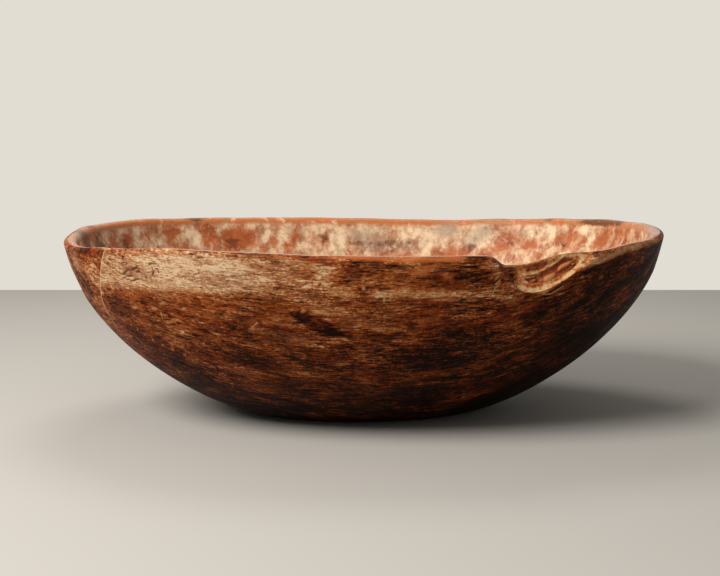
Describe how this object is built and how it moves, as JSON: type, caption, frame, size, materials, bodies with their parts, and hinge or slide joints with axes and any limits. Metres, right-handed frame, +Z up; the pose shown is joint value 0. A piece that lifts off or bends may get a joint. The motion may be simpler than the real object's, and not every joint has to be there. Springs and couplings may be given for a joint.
{
  "type": "dough bowl",
  "caption": "Deep oval bowl carved from one piece of wood, with worn old paint, a worn dip in the rim and a drying split at one end.",
  "frame": {"origin": "centre of the bowl's outline at the flat that it stands on", "axes": "+X along the length and the grain, towards the end without the split; -Y towards the side with the worn dip; +Z up"},
  "size_m": [0.4969, 0.3812, 0.1555],
  "materials": {
    "painted_wood": "old red-orange paint worn through to pale and brown wood, with a soft sheen"
  },
  "bodies": {
    "root": {"carved_bowl": "painted_wood"}
  },
  "joints": []
}
